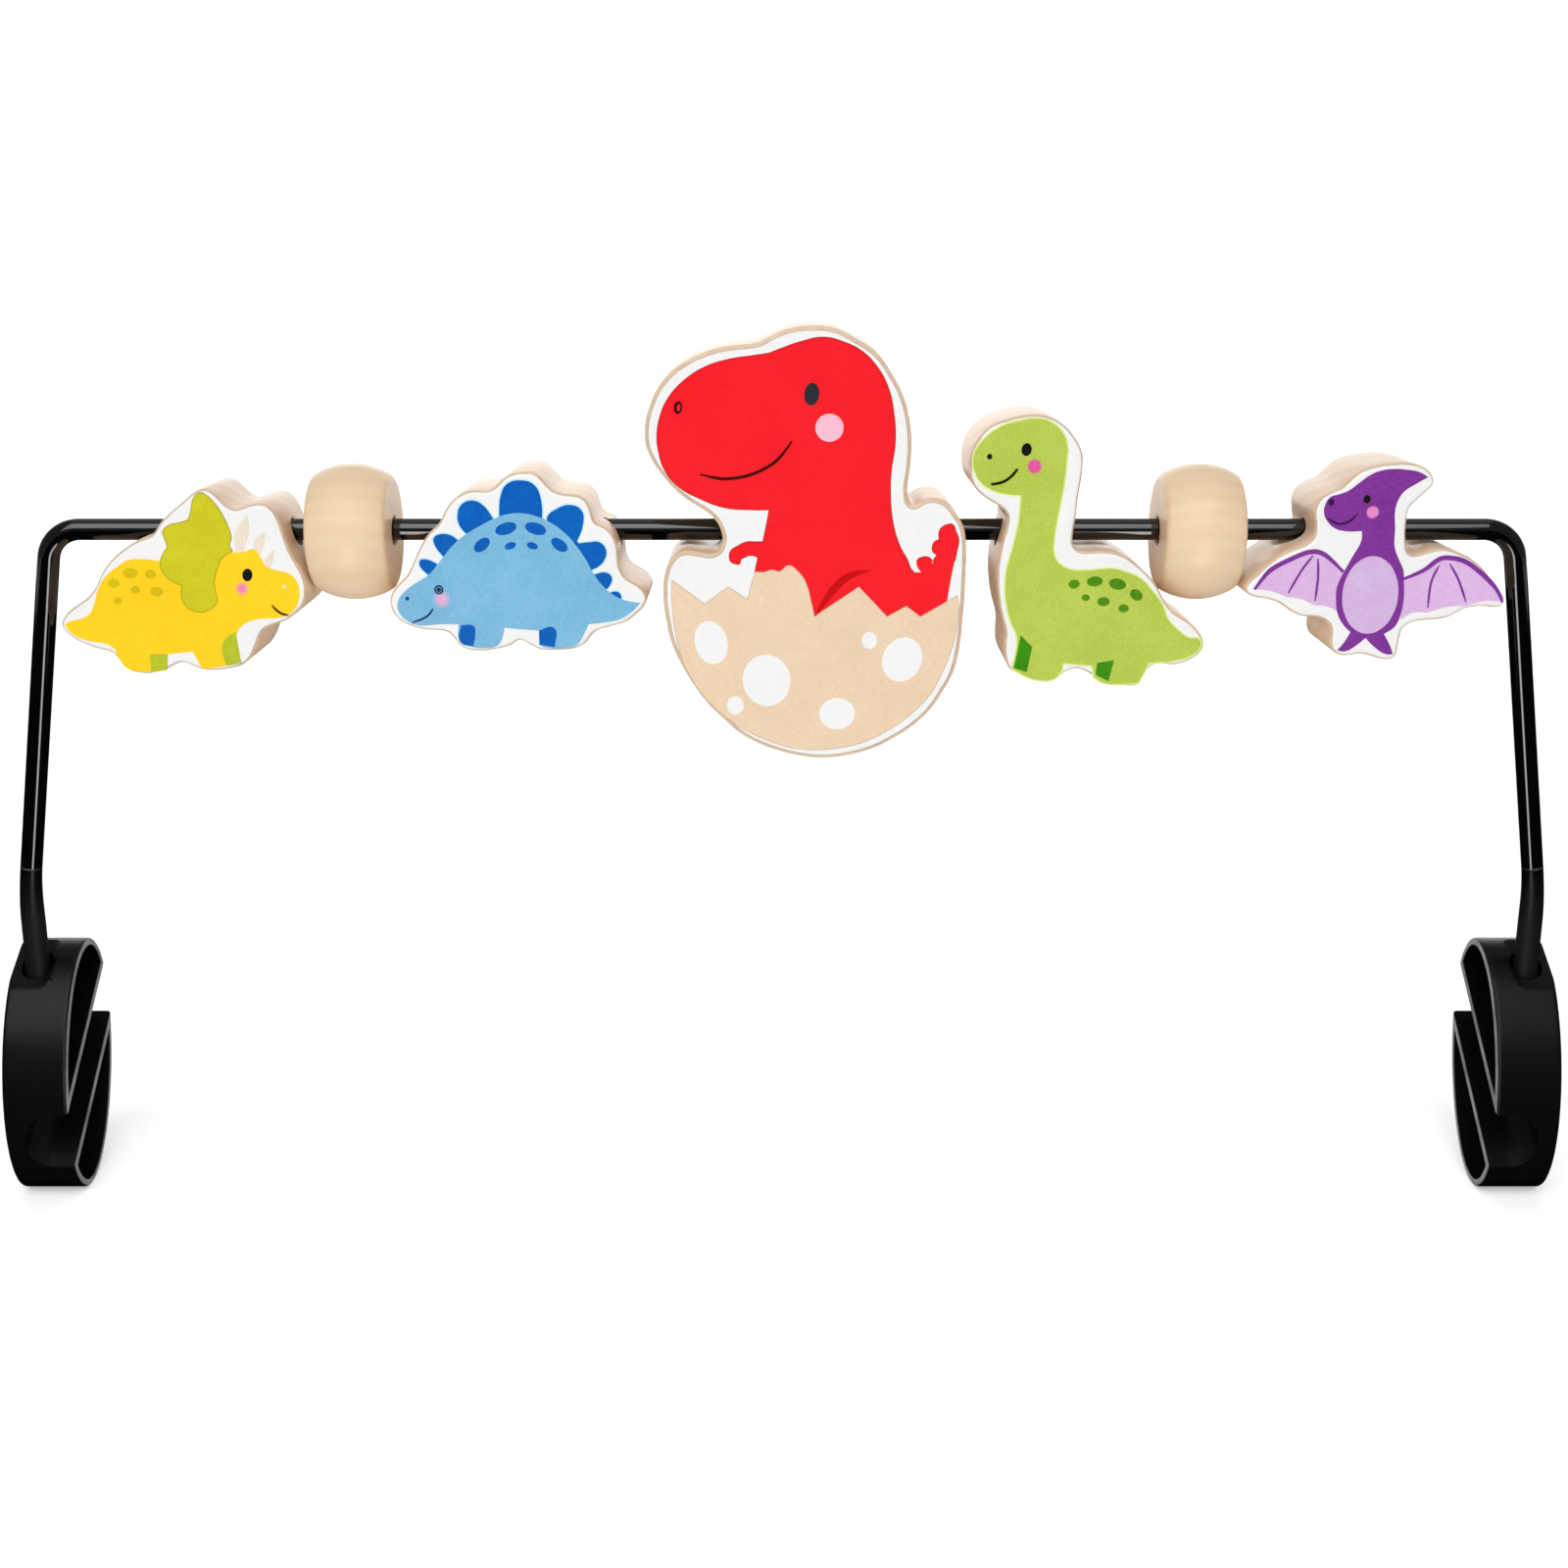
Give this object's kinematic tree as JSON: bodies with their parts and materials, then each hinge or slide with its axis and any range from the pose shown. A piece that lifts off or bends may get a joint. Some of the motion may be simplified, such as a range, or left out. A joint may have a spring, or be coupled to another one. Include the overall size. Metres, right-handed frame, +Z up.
{
  "type": "bouncer toy bar",
  "caption": "Arched steel wire toy bar with snap clips at its ends, threaded with wooden dinosaur blocks and barrel beads that spin on the wire.",
  "frame": {"origin": "midway between the two clips, on the line through the centres of their snap channels, where the bouncer carries the bar", "axes": "+X along the bar to the right as seen from the printed side, +Y away from that side, +Z up, with the toys hanging"},
  "size_m": [0.4818, 0.0474, 0.2688],
  "materials": {
    "toy_bar_rod": "glossy black coated steel wire",
    "left_leg_sleeve": "matte black vinyl",
    "right_leg_sleeve": "matte black vinyl",
    "left_push_on_washer": "plated spring steel",
    "right_push_on_washer": "plated spring steel",
    "left_clip": "satin black moulded plastic",
    "right_clip": "satin black moulded plastic",
    "triceratops": "printed wood block, yellow and lime",
    "left_bead": "clear lacquered pale wood",
    "stegosaurus": "printed wood block, light and dark blue",
    "tyrannosaurus": "printed wood block, red and tan",
    "brachiosaurus": "printed wood block, green",
    "right_bead": "clear lacquered pale wood",
    "pterosaur": "printed wood block, purple and lilac"
  },
  "bodies": {
    "arch": {"toy_bar_rod": "toy_bar_rod", "left_leg_sleeve": "left_leg_sleeve", "right_leg_sleeve": "right_leg_sleeve", "left_push_on_washer": "left_push_on_washer", "right_push_on_washer": "right_push_on_washer"},
    "left_clip": {"left_clip": "left_clip"},
    "right_clip": {"right_clip": "right_clip"},
    "triceratops": {"triceratops": "triceratops"},
    "left_bead": {"left_bead": "left_bead"},
    "stegosaurus": {"stegosaurus": "stegosaurus"},
    "tyrannosaurus": {"tyrannosaurus": "tyrannosaurus"},
    "brachiosaurus": {"brachiosaurus": "brachiosaurus"},
    "right_bead": {"right_bead": "right_bead"},
    "pterosaur": {"pterosaur": "pterosaur"}
  },
  "joints": [
    {"name": "left_clip_swivel", "type": "hinge", "parent": "arch", "child": "left_clip", "pos_m": [-0.23345, -0.00187, 0.03343], "axis": [0, 0, 1], "continuous": true},
    {"name": "right_clip_swivel", "type": "hinge", "parent": "arch", "child": "right_clip", "pos_m": [0.23345, -0.00187, 0.03343], "axis": [0, 0, 1], "continuous": true},
    {"name": "triceratops_spin", "type": "hinge", "parent": "arch", "child": "triceratops", "pos_m": [-0.17462, -0.00187, 0.17072], "axis": [1, 0, 0], "continuous": true},
    {"name": "left_bead_spin", "type": "hinge", "parent": "arch", "child": "left_bead", "pos_m": [-0.12637, -0.00187, 0.17072], "axis": [1, 0, 0], "continuous": true},
    {"name": "stegosaurus_spin", "type": "hinge", "parent": "arch", "child": "stegosaurus", "pos_m": [-0.07692, -0.00187, 0.17072], "axis": [1, 0, 0], "continuous": true},
    {"name": "tyrannosaurus_spin", "type": "hinge", "parent": "arch", "child": "tyrannosaurus", "pos_m": [0.00708, -0.00187, 0.17072], "axis": [1, 0, 0], "continuous": true},
    {"name": "brachiosaurus_spin", "type": "hinge", "parent": "arch", "child": "brachiosaurus", "pos_m": [0.08878, -0.00187, 0.17072], "axis": [1, 0, 0], "continuous": true},
    {"name": "right_bead_spin", "type": "hinge", "parent": "arch", "child": "right_bead", "pos_m": [0.12277, -0.00187, 0.17072], "axis": [1, 0, 0], "continuous": true},
    {"name": "pterosaur_spin", "type": "hinge", "parent": "arch", "child": "pterosaur", "pos_m": [0.17282, -0.00187, 0.17072], "axis": [1, 0, 0], "continuous": true}
  ]
}
